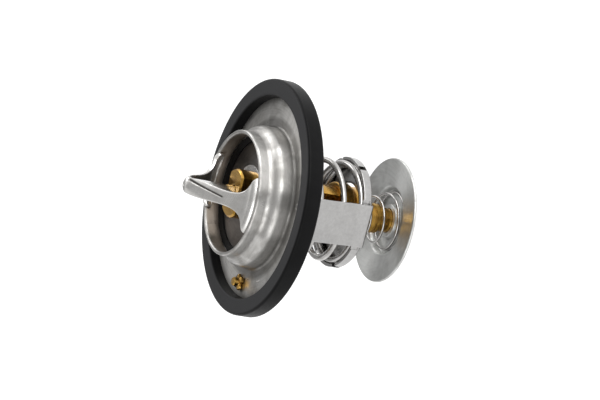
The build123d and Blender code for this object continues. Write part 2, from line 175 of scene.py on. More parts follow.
def ball(name, centre, radius, steps=32):
    """Sphere as a half circle turned round its own axis."""
    side_view = arc(0, 0, radius, -90, 90, steps // 2)
    side_view[[0, -1], 0] = 0
    grid = round_grid(side_view[None, :, 0], full_turn(steps)[:, None], side_view[None, :, 1], centre)
    return skin(name, grid, close_v=False)


def neck_side(inset):
    """Run of the drawn sheet from the neck's rim to the flange's edge, inset into its thickness."""
    reach = hollow_round + shoulder_round
    hollow = (neck_radius + hollow_round, step_top)
    shoulder = (
        hollow[0] - reach * np.cos(np.radians(step_angle)),
        hollow[1] - reach * np.sin(np.radians(step_angle)),
    )
    side = shoulder[0] + shoulder_round - inset
    corner = (shoulder[0] + shoulder_round + corner_round, flange_front + corner_round)
    floor = flange_front - inset
    return np.vstack(
        [
            run((neck_radius - inset, neck_top - neck_round), (neck_radius - inset, step_top), 6),
            arc(*hollow, hollow_round + inset, 180, 180 + step_angle, 12)[:-1],
            arc(*shoulder, shoulder_round - inset, step_angle, 0, 14),
            run((side, shoulder[1]), (side, corner[1]), 5)[1:],
            arc(*corner, corner_round + inset, 180, 270, 10),
            run((corner[0], floor), (flange_edge, floor), 24)[1:],
            [(flange_edge, floor)],
        ]
    )


flange_face = neck_side(0)
flange_back = neck_side(sheet)
rim = arc(neck_radius - neck_round, neck_top - neck_round, neck_round, 90, 0, 6)[:-1]
rim_inner = arc(neck_radius - sheet + neck_round, neck_top - neck_round, neck_round, 180, 90, 6)[1:]
flange = turned("flange", np.vstack([rim, flange_face, flange_back[::-1], rim_inner]))
vent_outline = np.array([(0, vent_low), (vent_hole, vent_low), (vent_hole, vent_high), (0, vent_high)])
shaft = turned("shaft", vent_outline, 64)
shaft.data.transform(Matrix.Translation((0, -vent_radius * MM, 0)))
cut(flange, shaft)
clinch_level = flange_front + clinch_ball - clinch_depth
for clinch_foot in (-1, 1):
    for clinch_end in (-1, 1):
        clinch_at = (clinch_foot * clinch_radius, clinch_end * clinch_pitch / 2, clinch_level)
        cut(flange, ball("dimple", clinch_at, clinch_ball))
punch = ball("punch", (0, 0, 0), 1.0)
punch_size = Matrix.Diagonal((punch_width / 2, punch_length / 2, punch_depth, 1))
punch_turn = Matrix.Rotation(np.radians(punch_angle), 4, "Z")
punch_place = Matrix.Translation((punch_radius * MM, 0, flange_front * MM))
punch.data.transform(punch_turn @ punch_place @ punch_size)
cut(flange, punch)


def node_maker(tree):
    """Maker of nodes in a tree: attributes are set by name, and sockets take a value or a link."""

    def make(kind, sockets=(), **values):
        node = tree.nodes.new(kind)
        for key, value in values.items():
            setattr(node, key, value)
        for socket, source in sockets:
            if isinstance(source, bpy.types.NodeSocket):
                tree.links.new(source, node.inputs[socket])
            else:
                node.inputs[socket].default_value = source
        return node

    return make


def sheen_nodes(name, colour, roughness, metallic=1.0):
    """Material with a Principled shader, its node tree and the maker of its nodes."""
    material = bpy.data.materials.new(name)
    material.use_nodes = True
    tree = material.node_tree
    shader = tree.nodes["Principled BSDF"]
    shader.inputs["Base Color"].default_value = (*colour, 1)
    shader.inputs["Metallic"].default_value = metallic
    shader.inputs["Roughness"].default_value = roughness
    return material, tree, shader, node_maker(tree)


def mapped(make, value, low, high, first, last):
    """Value that goes straight from first to last as the given one goes from low to high."""
    return make("ShaderNodeMapRange", enumerate((value, low, high, first, last))).outputs[0]


def reckoned(make, operation, first, second):
    """Result of one operation on two values."""
    return make("ShaderNodeMath", [(0, first), (1, second)], operation=operation).outputs[0]


def blended(make, share, first, second):
    """Colour that goes from the first to the second as the share goes from 0 to 1."""
    return make("ShaderNodeMix", [(0, share), (6, first), (7, second)], data_type="RGBA").outputs[2]


def axis_values(make, centre=(0, 0, 0)):
    """Place measured from a centre, its three parts, and its distance from the upright axis."""
    place = make("ShaderNodeTexCoord").outputs["Object"]
    offset = [-part * MM for part in centre]
    moved = make("ShaderNodeVectorMath", [(0, place), (1, offset)], operation="ADD").outputs[0]
    split = make("ShaderNodeSeparateXYZ", [(0, moved)]).outputs
    flat = make("ShaderNodeCombineXYZ", [(0, split[0]), (1, split[1])]).outputs[0]
    radius = make("ShaderNodeVectorMath", [(0, flat)], operation="LENGTH").outputs["Value"]
    return moved, split, radius


def surfaced(tree, shader, make, colour, gloss, relief):
    """Joins a colour, a roughness and a bump of given strength, distance and height to a shader."""
    bump = make("ShaderNodeBump", zip(("Strength", "Distance", "Height"), relief)).outputs[0]
    for socket, source in (("Base Color", colour), ("Roughness", gloss), ("Normal", bump)):
        tree.links.new(source, shader.inputs[socket])


def metal(name, dark, light, rough, ring=0.0, grain=2.0, stain=0.35, centre=(0, 0, 0)):
    """Worked metal: fine marks that run round the axis or along it, cloudy stains and uneven gloss."""
    mark_stretch, mark_relief, mark_height = 0.0008, 0.02, 0.00005
    material, tree, shader, make = sheen_nodes(name, light, rough[0])
    moved, split, radius = axis_values(make, centre)
    angle = reckoned(make, "ARCTAN2", split[1], split[0])
    way_round = reckoned(make, "MULTIPLY", angle, mark_stretch)
    rings = make("ShaderNodeCombineXYZ", [(0, radius), (1, way_round), (2, split[2])]).outputs[0]
    mixed = make("ShaderNodeMix", [(0, ring), (4, moved), (5, rings)], data_type="VECTOR")
    marks = make(
        "ShaderNodeTexNoise",
        [("Vector", mixed.outputs[1]), ("Scale", grain * 1000), ("Detail", 5.0), ("Roughness", 0.65)],
    ).outputs[0]
    clouds = make(
        "ShaderNodeTexNoise",
        [("Vector", moved), ("Scale", 190.0), ("Detail", 6.0), ("Distortion", 0.6)],
    ).outputs[0]
    cloud_share = mapped(make, clouds, 0.36, 0.62, stain, 0.0)
    mark_share = mapped(make, marks, 0.3, 0.7, 0.25, 0.0)
    share = reckoned(make, "ADD", cloud_share, mark_share)
    colour = blended(make, share, (*light, 1), (*dark, 1))
    gloss = mapped(make, share, 0.0, 0.6, *rough)
    surfaced(tree, shader, make, colour, gloss, (mark_relief, mark_height, marks))
    if ring > 0.5:
        shader.inputs["Anisotropic"].default_value = 0.9
        shader.inputs["Anisotropic Rotation"].default_value = 0.25
        around = make("ShaderNodeTangent", direction_type="RADIAL", axis="Z")
        tree.links.new(around.outputs[0], shader.inputs["Tangent"])
    return material


def overlaid(material, share, colour):
    """Lays a colour over the one that the shader has, by a share."""
    tree = material.node_tree
    base = tree.nodes["Principled BSDF"].inputs["Base Color"]
    before = base.links[0].from_socket
    tree.links.new(blended(node_maker(tree), share, before, (*colour, 1)), base)


def tinted(material, colour, radii, levels, amount, soft=0.25):
    """Lays a colour on where the distance from the axis and the height both lie between two values."""
    make = node_maker(material.node_tree)
    split, radius = axis_values(make)[1:]
    share = amount
    for value, (low, high) in ((radius, radii), (split[2], levels)):
        middle, reach = (low + high) / 2 * MM, (high - low) / 2 * MM
        off = reckoned(make, "SUBTRACT", value, middle)
        away = make("ShaderNodeMath", [(0, off)], operation="ABSOLUTE").outputs[0]
        inside = mapped(make, away, reach - soft * MM, reach + soft * MM, 1.0, 0.0)
        share = reckoned(make, "MULTIPLY", inside, share)
    overlaid(material, share, colour)


def coated(piece, material):
    """Gives a piece one finish."""
    piece.data.materials.clear()
    piece.data.materials.append(material)


def dress(piece, material, body, node):
    """Coats a piece, lets it ride on its body and stand for its node."""
    coated(piece, material)
    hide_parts(node)
    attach(piece, body)


flange_metal = metal(
    "drawn_stainless", (0.2, 0.19, 0.175), (0.62, 0.61, 0.59), (0.26, 0.42), ring=0.9, grain=2.4, stain=0.5
)
# Painted shade darkens the flange under the seal's lip and at the neck's root, and a brown painted shade
# lies inside the neck
under_flange = -3
lip_painted_shade = (26.9, flange_edge + 1)
root_painted_shade = (19.0, 22.6)
neck_painted_shade = (-1, neck_radius - sheet / 2)
neck_shade_top = neck_top - 0.6
tinted(flange_metal, (0.09, 0.085, 0.075), lip_painted_shade, (under_flange, 0.2), 0.75, 0.9)
tinted(flange_metal, (0.08, 0.075, 0.068), root_painted_shade, (under_flange, 0.5), 0.6, 0.6)
tinted(flange_metal, (0.36, 0.3, 0.24), neck_painted_shade, (under_flange, neck_shade_top), 0.8)
dress(flange, flange_metal, "housing", "flange_shell")

# Rubber seal
# A ring of black moulded rubber with a U section, stretched over the flange's edge.
# Its front lip is deep and flat, its rear lip thin, and all its rims are rounded by the mould.
seal_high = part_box("seal_ring")[1]
seal_radius = seal_high.x / MM
seal_front = seal_high.z / MM
seal_round = 0.8
seal_turn = seal_radius - seal_round
front_bore = 28.3
rear_bore = 28.8
lip_round = 0.4
lip_draft = 0.3
lip_foot = front_bore - lip_draft
flange_rear = flange_front - sheet
seal_outline = np.vstack(
    [
        arc(front_bore + lip_round, seal_front - lip_round, lip_round, 180, 90, 5),
        run((front_bore + lip_round, seal_front), (seal_turn, seal_front), 8)[1:],
        arc(seal_turn, seal_front - seal_round, seal_round, 90, 0, 10),
        arc(seal_turn, seal_round - seal_front, seal_round, 0, -90, 10),
        run((seal_turn, -seal_front), (rear_bore, -seal_front), 6)[1:],
        run((rear_bore, -seal_front), (rear_bore, flange_rear), 3),
        run((rear_bore, flange_rear), (flange_edge, flange_rear), 3),
        run((flange_edge, flange_rear), (flange_edge, flange_front), 3),
        run((flange_edge, flange_front), (lip_foot, flange_front), 3),
        run((lip_foot, flange_front), (front_bore, seal_front - lip_round), 6),
    ]
)
seal = turned("seal", seal_outline)


def rubber(name, colour, light):
    """Moulded rubber: a matt skin with fine grain, a little bloom and dust in patches."""
    grain_relief, grain_height = 0.12, 0.00004
    material, tree, shader, make = sheen_nodes(name, colour, 0.52, 0.0)
    shader.inputs["Specular IOR Level"].default_value = 0.07
    place = make("ShaderNodeTexCoord").outputs["Object"]
    grain = make("ShaderNodeTexNoise", [("Vector", place), ("Scale", 4200.0), ("Detail", 4.0)]).outputs[0]
    bloom = make("ShaderNodeTexNoise", [("Vector", place), ("Scale", 120.0), ("Detail", 5.0)]).outputs[0]
    tint = blended(make, mapped(make, bloom, 0.42, 0.75, 0.0, 0.6), (*colour, 1), (*light, 1))
    gloss = mapped(make, grain, 0.3, 0.7, 0.36, 0.5)
    surfaced(tree, shader, make, tint, gloss, (grain_relief, grain_height, grain))
    return material


seal_skin = rubber("seal_rubber", (0.004, 0.004, 0.0042), (0.01, 0.01, 0.0105))
# Painted light: the front face of the seal's lip is made lighter than its side
lip_painted_light = (front_bore - 1, seal_radius - 0.5)
tinted(seal_skin, (0.05, 0.05, 0.052), lip_painted_light, (seal_front - 0.2, seal_front + 1), 0.8)
dress(seal, seal_skin, "housing", "seal_ring")

# Bridge
# A strap cut from a drawn bell of bright stainless sheet, with its nose over the piston.
# It narrows to a waist and fans out to the bore of the neck, and a crease runs slantwise down each limb.
bridge_sheet = 1.2
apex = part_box("bridge")[1].z / MM
bridge_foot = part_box("bridge")[1].x / MM
foot_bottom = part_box("bridge")[0].z / MM
nose_round = 3.2
bell_slope = np.radians(45.0)
rest_slope = np.radians(20.0)
bell_hollow = 5.0
bend_round = 2.0
strap_round = 0.42
strap_edge = [(0, 2.5), (4.4, 2.5), (8.8, 2.1), (12.4, 2.9)]
foot_half = 8.0
crease_start = np.array((1.3, 1.75))
crease_end = np.array((9.0, 0.1))
crease_half = 0.4
crease_depth = 0.22
above_slope = 0.14
band_reach = 2.5
band_at = (0, 1.5, 9.0, 12.5)
band_share = (0.3, 1, 1, 0)
edge_passes = 20
pip_radius = 0.7
pip_depth = 0.25


def bell_line():
    """Side view of the bell from nose to foot: nose arc, straight limb, hollow arc, bend and short wall."""
    top = (nose_round * np.sin(bell_slope), apex - nose_round + nose_round * np.cos(bell_slope))
    bend_in = bridge_foot - bend_round * (1 - np.sin(rest_slope))
    low_x = bend_in - bell_hollow * (np.sin(bell_slope) - np.sin(rest_slope))
    low_z = top[1] - (low_x - top[0]) * np.tan(bell_slope)
    hollow = (low_x + bell_hollow * np.sin(bell_slope), low_z + bell_hollow * np.cos(bell_slope))
    bend_z = hollow[1] - (bell_hollow + bend_round) * np.cos(rest_slope)
    slope, rest = np.degrees(bell_slope), np.degrees(rest_slope)
    return np.vstack(
        [
            arc(0, apex - nose_round, nose_round, 90, 90 - slope, 24)[:-1],
            run(top, (low_x, low_z), 30),
            arc(*hollow, bell_hollow, 270 - slope, 270 - rest, 30)[:-1],
            arc(bridge_foot - bend_round, bend_z, bend_round, 90 - rest, 0, 20),
            run((bridge_foot, bend_z), (bridge_foot, foot_bottom), 6)[1:],
            [(bridge_foot, foot_bottom)],
        ]
    )


def eased_curve(points, start_way, end_way, per_span=40):
    """Cubic spline: each span blends its two ends and their slopes, which solve for an unbroken bend."""
    points = np.array(points, float)
    span = np.linalg.norm(np.diff(points, axis=0), axis=1)
    rows = np.eye(len(points))
    known = np.zeros((len(points), 2))
    known[0] = np.array(start_way) / np.linalg.norm(start_way)
    known[-1] = np.array(end_way) / np.linalg.norm(end_way)
    for i in range(1, len(points) - 1):
        before, after = span[i - 1], span[i]
        rows[i, i - 1 : i + 2] = after, 2 * (before + after), before
        back_step, next_step = points[i] - points[i - 1], points[i + 1] - points[i]
        known[i] = 3 * (after / before * back_step + before / after * next_step)
    slopes = np.linalg.solve(rows, known)
    s = np.linspace(0, 1, per_span + 1)[None, :, None]
    p0, p1 = points[:-1, None], points[1:, None]
    m0, m1 = slopes[:-1, None] * span[:, None, None], slopes[1:, None] * span[:, None, None]
    curve = p0 * (1 + 2 * s) * (1 - s) ** 2 + m0 * s * (1 - s) ** 2
    curve = curve + p1 * s**2 * (3 - 2 * s) - m1 * s**2 * (1 - s)
    return curve.reshape(-1, 2)


def path_frame(path):
    """Length along a flat path, and its unit normals: its slopes turned by a quarter."""
    length = np.concatenate([[0], np.cumsum(np.linalg.norm(np.diff(path, axis=0), axis=1))])
    ahead = np.gradient(path, length, axis=0)
    ahead /= np.linalg.norm(ahead, axis=1)[:, None]
    return length, np.stack([-ahead[:, 1], ahead[:, 0]], 1)


def crease_distance(plan):
    """Distance of points, seen from above, from the straight run between the crease's ends."""
    crease_length = np.linalg.norm(crease_end - crease_start)
    crease_way = (crease_end - crease_start) / crease_length
    from_start = plan - crease_start
    on_crease = np.clip(from_start @ crease_way, 0, crease_length)
    return np.linalg.norm(from_start - on_crease[..., None] * crease_way, axis=-1)


def capped(name, rings):
    """Skin of loops carried along a path, where each end loop is drawn in to its own middle."""
    start, end = (loop.mean(1, keepdims=True) + 0 * loop for loop in (rings[:1], rings[-1:]))
    return skin(name, np.concatenate([start, rings, end]), close_u=False)


TINY = 1e-6
bell = bell_line()
along, normal = path_frame(bell)
wall_start = along[np.argmax(bell[:, 0] > bridge_foot - 1e-4)]
half_stations = np.linspace(0, along[-1], 150)
stations = np.concatenate([-half_stations[:0:-1], half_stations])
face = np.linspace(-1, 1, 73)
quarter = np.radians(np.linspace(90, 0, 7))[1:-1]
flat_face, flat_quarter = 0 * face, 0 * quarter
right_edge, left_edge = flat_quarter + 1, flat_quarter - 1
loop_side = np.concatenate([face, right_edge, right_edge, face[::-1], left_edge, left_edge])
rising, falling = np.cos(quarter), np.cos(quarter[::-1])
loop_bulge = np.concatenate([flat_face, rising, falling, flat_face, -rising, -falling])
upper, lower = strap_round * (1 - np.sin(quarter)), strap_round * (1 - np.sin(quarter[::-1]))
loop_depth = np.concatenate(
    [flat_face, upper, bridge_sheet - lower, bridge_sheet + flat_face, bridge_sheet - upper, lower]
)
station = np.abs(stations)[:, None]
limb_sign = np.where(stations < 0, -1.0, 1.0)[:, None]
centre_x = np.interp(station, along, bell[:, 0])
foot_x = np.sqrt(bridge_foot**2 - foot_half**2)
edge_curve = eased_curve([*strap_edge, (foot_x, foot_half)], (1, 0), (1, 3))
edge_sag = bridge_foot - np.sqrt(bridge_foot**2 - edge_curve[:, 1] ** 2)
edge_centre = edge_curve[:, 0]
for _ in range(edge_passes):
    edge_centre = edge_curve[:, 0] + (edge_centre / bridge_foot) ** 3 * edge_sag
half_width = np.interp(centre_x, edge_centre, edge_curve[:, 1])
y = loop_side[None] * (half_width - strap_round) + loop_bulge[None] * strap_round
x = centre_x - (centre_x / bridge_foot) ** 3 * (bridge_foot - np.sqrt(bridge_foot**2 - y**2))
rho = np.minimum(np.sqrt(x**2 + y**2), bridge_foot)
bell_part = along <= wall_start
reach = np.where(station > wall_start, station, np.interp(rho, bell[bell_part, 0], along[bell_part]))
base = np.stack([np.interp(reach, along, bell[:, i]) for i in (0, 1)], -1)
out = np.stack([np.interp(reach, along, normal[:, i]) for i in (0, 1)], -1)
off_crease = crease_distance(np.stack([x, y], -1))
crease = crease_depth * np.clip(1 - (off_crease / crease_half) ** 2, 0, 1)
crease_fall = (crease_end[1] - crease_start[1]) / (crease_end[0] - crease_start[0])
above = np.clip(y - crease_start[1] - (x - crease_start[0]) * crease_fall, 0, band_reach)
band_tilt = above * above_slope * np.interp(x, band_at, band_share)
pip = np.clip(np.sqrt(np.clip(pip_radius**2 - rho**2, 0, None)) - pip_radius + pip_depth, 0, None)
depth = loop_depth[None] + np.where(loop_depth[None] < bridge_sheet / 2, crease + band_tilt + pip, 0)
turn_x = np.where(rho > TINY, x / np.maximum(rho, TINY), 1.0)
turn_y = np.where(rho > TINY, y / np.maximum(rho, TINY), 0.0)
bell_rho = base[..., 0] - out[..., 0] * depth
bell_z = base[..., 1] - out[..., 1] * depth
bridge = capped("bridge_strap", np.stack([limb_sign * bell_rho * turn_x, bell_rho * turn_y, bell_z], -1))
bridge_metal = metal(
    "bright_stainless", (0.3, 0.29, 0.275), (0.74, 0.73, 0.71), (0.22, 0.38), grain=1.6, stain=0.35
)
# Painted shade: a dark line is laid along the crease of each limb
vertices = np.empty(len(bridge.data.vertices) * 3)
bridge.data.vertices.foreach_get("co", vertices)
vertices = vertices.reshape(-1, 3) / MM
off_crease = crease_distance(np.stack([np.abs(vertices[:, 0]), vertices[:, 1]], 1))
skin_level = np.interp(np.hypot(vertices[:, 0], vertices[:, 1]), bell[bell_part, 0], bell[bell_part, 1])
crease_painted_shade = np.clip(1.25 - off_crease / crease_half, 0, 1) * (vertices[:, 2] > skin_level - bridge_sheet / 2)
bridge.data.attributes.new("crease_painted_shade", "FLOAT", "POINT").data.foreach_set("value", crease_painted_shade)
crease_shade_node = node_maker(bridge_metal.node_tree)("ShaderNodeAttribute", attribute_name="crease_painted_shade")
overlaid(bridge_metal, crease_shade_node.outputs["Fac"], (0.07, 0.065, 0.06))
dress(bridge, bridge_metal, "housing", "bridge")

# Cage
# One bright stamping: a shallow dish for the spring, and two splayed legs bent up out of it.
# The feet of the legs lie under the flange, and slots beside each leg free it from the dish's rim.
cage_low, cage_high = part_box("cage")
cage_sheet = 1.0
dish_radius = 15.6
dish_bottom = cage_low.z / MM
dish_floor = dish_bottom + cage_sheet
rim_height = 2.0
dish_top = dish_floor + rim_height
dish_corner = 1.3
dish_hole = 8.45
foot_reach = cage_high.x / MM
foot_length = 4.0
leg_top = foot_reach - foot_length
leg_width = 12.0
leg_edge = 0.28
leg_tuck = 2.2
leg_upright = 4.2
leg_bends = (0.8, 2.0, 1.6)
union_gap = 0.01
notch_width = 1.1
notch_reach = 4.0
notch_height = 4.0
rim_notch_width = 1.6
rim_notch_angle = 67.0
dish_inner = dish_radius - cage_sheet
dish_inner_corner = dish_corner - cage_sheet
lip = 0.25
dish_outline = np.vstack(
    [
        run((dish_hole, dish_bottom + lip), (dish_hole, dish_floor - lip), 2),
        arc(dish_hole + lip, dish_floor - lip, lip, 180, 90, 4),
        run((dish_hole + lip, dish_floor), (dish_inner - dish_inner_corner, dish_floor), 10)[1:],
        arc(dish_inner - dish_inner_corner, dish_floor + dish_inner_corner, dish_inner_corner, -90, 0, 6),
        run((dish_inner, dish_floor + dish_inner_corner), (dish_inner, dish_top - lip), 4)[1:],
        arc(dish_inner + lip, dish_top - lip, lip, 180, 90, 4),
        arc(dish_radius - lip, dish_top - lip, lip, 90, 0, 4),
        run((dish_radius, dish_top - lip), (dish_radius, dish_bottom + dish_corner), 4)[1:],
        arc(dish_radius - dish_corner, dish_bottom + dish_corner, dish_corner, 0, -90, 8),
        run((dish_radius - dish_corner, dish_bottom), (dish_hole + lip, dish_bottom), 10)[1:],
        arc(dish_hole + lip, dish_bottom + lip, lip, 270, 180, 4),
    ]
)
cage = turned("spring_cage", dish_outline)


def block(name, size, centre, turn):
    """Box as four corner columns of a grid, turned about the axis."""
    plan = np.array([(-1, -1), (1, -1), (1, 1), (-1, 1)]) * np.array(size[:2]) / 2
    levels = np.array([-0.5, -0.5, 0.5, 0.5]) * size[2]
    shrink = np.array([0, 1, 1, 0])
    x, y = np.moveaxis(centre[:2] + plan[None] * shrink[:, None, None], -1, 0)
    z = np.repeat(centre[2] + levels[:, None], 4, 1)
    angle = np.radians(turn)
    turned_x = x * np.cos(angle) - y * np.sin(angle)
    turned_y = x * np.sin(angle) + y * np.cos(angle)
    return skin(name, np.stack([turned_x, turned_y, z], -1), close_u=False)


notch_level = dish_floor + notch_height / 2
for leg_turn in (0, 180):
    for leg_side in (-1, 1):
        notch_at = (dish_radius, leg_side * (leg_width + notch_width) / 2, notch_level)
        cut(cage, block("slot", (notch_reach, notch_width, notch_height), notch_at, leg_turn))
        rim_at = (dish_radius, 0, notch_level)
        rim_turn = leg_turn + leg_side * rim_notch_angle
        cut(cage, block("slot", (notch_reach, rim_notch_width, notch_height), rim_at, rim_turn))


def rounded_path(corners, radii, per_arc=10, per_run=8):
    """Points along straight runs with a tangent arc at each inner corner."""
    corners = np.array(corners, float)
    points = [corners[0]]
    for before, here, after, radius in zip(corners, corners[1:], corners[2:], radii):
        into = (before - here) / np.linalg.norm(before - here)
        away = (after - here) / np.linalg.norm(after - here)
        half_angle = np.arccos(np.clip(into @ away, -1, 1)) / 2
        cut_back = radius / np.tan(half_angle)
        centre = here + (into + away) / np.linalg.norm(into + away) * radius / np.sin(half_angle)
        first, last = here + into * cut_back, here + away * cut_back
        start = np.arctan2(*(first - centre)[::-1])
        turn = (np.arctan2(*(last - centre)[::-1]) - start + np.pi) % (2 * np.pi) - np.pi
        points += list(run(points[-1], first, per_run)[1:])
        points += list(arc(*centre, radius, np.degrees(start), np.degrees(start + turn), per_arc))
    points += list(run(points[-1], corners[-1], per_run)[1:]) + [corners[-1]]
    return np.array(points)


def round_loop(width, height, edge, steps):
    """Rounded rectangle about its middle: a quarter circle at each of its four corners."""
    quarters = ((1, -1, 270), (1, 1, 0), (-1, 1, 90), (-1, -1, 180))
    return np.vstack(
        [
            arc(side * (width / 2 - edge), end * (height / 2 - edge), edge, start, start + 90, steps)
            for side, end, start in quarters
        ]
    )


def band(name, path, width, thickness, edge):
    """Flat strip: a rounded rectangle carried along a path in the XZ plane, with flat ends."""
    across = path_frame(path)[1]
    loop = round_loop(width, thickness, edge, 5)
    spots = path[:, None] + across[:, None] * loop[None, :, 1:]
    return capped(name, np.stack([spots[..., 0], loop[None, :, 0] + 0 * spots[..., 0], spots[..., 1]], -1))


half_sheet = cage_sheet / 2
leg_corners = [
    (dish_radius - leg_tuck, dish_bottom + half_sheet),
    (dish_radius - half_sheet, dish_bottom + half_sheet),
    (dish_radius - half_sheet, dish_bottom + leg_upright),
    (leg_top - half_sheet, flange_rear - half_sheet),
    (foot_reach, flange_rear - half_sheet),
]
leg_path = rounded_path(leg_corners, leg_bends)
for leg_turn in (0, 180):
    leg = band("leg", leg_path, leg_width, cage_sheet - union_gap, leg_edge)
    leg.data.transform(Matrix.Rotation(np.radians(leg_turn), 4, "Z"))
    cut(cage, leg, "UNION")
cage_metal = metal(
    "polished_stainless", (0.2, 0.195, 0.19), (0.42, 0.415, 0.41), (0.16, 0.3), grain=1.2, stain=0.12
)
dress(cage, cage_metal, "housing", "cage")

# Main spring
# Bright drawn wire, wound right-handed round the guide, with its last turn at each end laid nearly flat.
# It stands in the dish of the cage and presses the valve plate up to its seat.


def wire_coil(name, wire, low_radius, high_radius, bottom, top, coils, end_coils, start, per_turn=56):
    """Helix whose radius and level ease from end to end; a circle carried along it, with rounded ends."""
    softness, end_lay, tube_steps = 0.35, 0.55, 20
    cap_steps = [(0.8, 0.06), (0.5, 0.1), (0.0, 0.1)]
    turns = coils + 2 * end_coils
    turn = np.linspace(0, turns, int(turns * per_turn))
    share = np.clip((turn - end_coils) / coils, 0, 1)
    ease = share * share * (3 - 2 * share) * softness + share * (1 - softness)
    low, high = bottom + wire / 2, top - wire / 2
    lay = wire * end_lay * end_coils
    ends = np.minimum(turn, end_coils) / end_coils + np.maximum(turn - turns + end_coils, 0) / end_coils
    radius = low_radius + (high_radius - low_radius) * ease
    level = low + lay * ends + (high - low - 2 * lay) * ease
    angle = 2 * np.pi * turn + np.radians(start)
    path = round_grid(radius, angle, level)
    ahead = np.gradient(path, axis=0)
    ahead /= np.linalg.norm(ahead, axis=1)[:, None]
    outward = round_grid(1, angle, 0)
    outward -= ahead * np.sum(outward * ahead, 1)[:, None]
    outward /= np.linalg.norm(outward, axis=1)[:, None]
    upward = np.cross(ahead, outward)
    around = full_turn(tube_steps)[None, :, None]
    ring = np.cos(around) * outward[:, None] + np.sin(around) * upward[:, None]
    tube = path[:, None] + ring * wire / 2
    caps = []
    for at, way in ((0, -ahead[0]), (-1, ahead[-1])):
        rounds = [path[at] + way * wire * bulge + ring[at] * wire / 2 * size for size, bulge in cap_steps]
        caps.append(rounds)
    return skin(name, np.concatenate([caps[0][::-1], tube, caps[1]]), close_u=False)


def joint_reach(name):
    """Greatest travel of a joint, in metres."""
    return max(next(joint for joint in frame["joints"] if joint["name"] == name)["range_m"])


main_wire = 1.8
main_radius = 13.55
main_coils = 4.0
main_end_coils = 0.9
main_start = 60.0
plate_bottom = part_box("valve_plate")[0].z / MM
main_spring = wire_coil(
    "main_coil",
    main_wire,
    main_radius,
    main_radius,
    dish_floor,
    plate_bottom,
    main_coils,
    main_end_coils,
    main_start,
)
wire_metal = metal("drawn_wire", (0.18, 0.17, 0.16), (0.52, 0.51, 0.5), (0.14, 0.28), grain=2.0, stain=0.4)
dress(main_spring, wire_metal, "housing", "main_spring")
lift = joint_reach("valve_lift")
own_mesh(main_spring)

# Valve plate and its rubber
# A stamped disc that the spring lifts, with a moulded rubber edge that closes on the hollow of the step.
# The snap ring above it sits in a groove of the guide.
plate_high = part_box("valve_plate")[1]
plate_top = plate_high.z / MM
plate_radius = plate_high.x / MM
# Painted shade: the valve plate, deep in the neck, is given a very dark colour
plate_shaded_metal = metal(
    "plate_stainless", (0.05, 0.045, 0.04), (0.14, 0.13, 0.125), (0.25, 0.42), ring=0.8, grain=2.2
)
coated(frame["nodes"]["valve_plate"], plate_shaded_metal)
seat_gap = 0.15
lip_start = 212
lip_end = 240
rubber_hold = 1.5
rubber_wall = 0.45
skirt_round = 0.3
seat = arc(neck_radius + hollow_round, step_top, hollow_round + sheet + seat_gap, lip_start, lip_end, 12)
skirt = seat[-1][0]
rubber_bore = plate_radius - rubber_hold
rubber_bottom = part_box("valve_rubber")[0].z / MM
edge_outline = np.vstack(
    [
        seat[:-1],
        run(seat[-1], (skirt, rubber_bottom + skirt_round), 3),
        arc(skirt - skirt_round, rubber_bottom + skirt_round, skirt_round, 0, -90, 4),
        run((skirt - skirt_round, rubber_bottom), (rubber_bore, rubber_bottom), 4)[1:],
        run((rubber_bore, rubber_bottom), (rubber_bore, plate_bottom), 2),
        run((rubber_bore, plate_bottom), (plate_radius, plate_bottom), 2),
        run((plate_radius, plate_bottom), (plate_radius, plate_top), 2),
        run((plate_radius, plate_top), (rubber_bore, plate_top), 2),
        run((rubber_bore, plate_top), (rubber_bore, plate_top + rubber_wall), 2),
        run((rubber_bore, plate_top + rubber_wall), seat[0], 4),
    ]
)
valve_edge = turned("valve_edge", edge_outline)
edge_rubber = rubber("valve_edge_rubber", (0.008, 0.008, 0.008), (0.018, 0.016, 0.015))
dress(valve_edge, edge_rubber, "element", "valve_rubber")


def open_ring(name, radii, levels, middle, opening, edge=0.12):
    """Flat ring with an opening: a rounded rectangle carried round the axis from side to side of it."""
    (inner, outer), (bottom, top) = radii, levels
    loop = round_loop(outer - inner, top - bottom, edge, 4) + ((inner + outer) / 2, (bottom + top) / 2)
    angle = np.radians(np.linspace(middle + opening / 2, middle + 360 - opening / 2, 160))[:, None]
    return capped(name, round_grid(loop[None, :, 0], angle, loop[None, :, 1]))


snap_low, snap_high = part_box("snap_ring")
snap_outer = snap_high.x / MM
snap_width = 2.55
snap_radii = (snap_outer - snap_width, snap_outer)
snap_levels = (snap_low.z / MM, snap_high.z / MM)
snap = open_ring("retaining_ring", snap_radii, snap_levels, middle=-90, opening=70)
dress(snap, wire_metal, "element", "snap_ring")

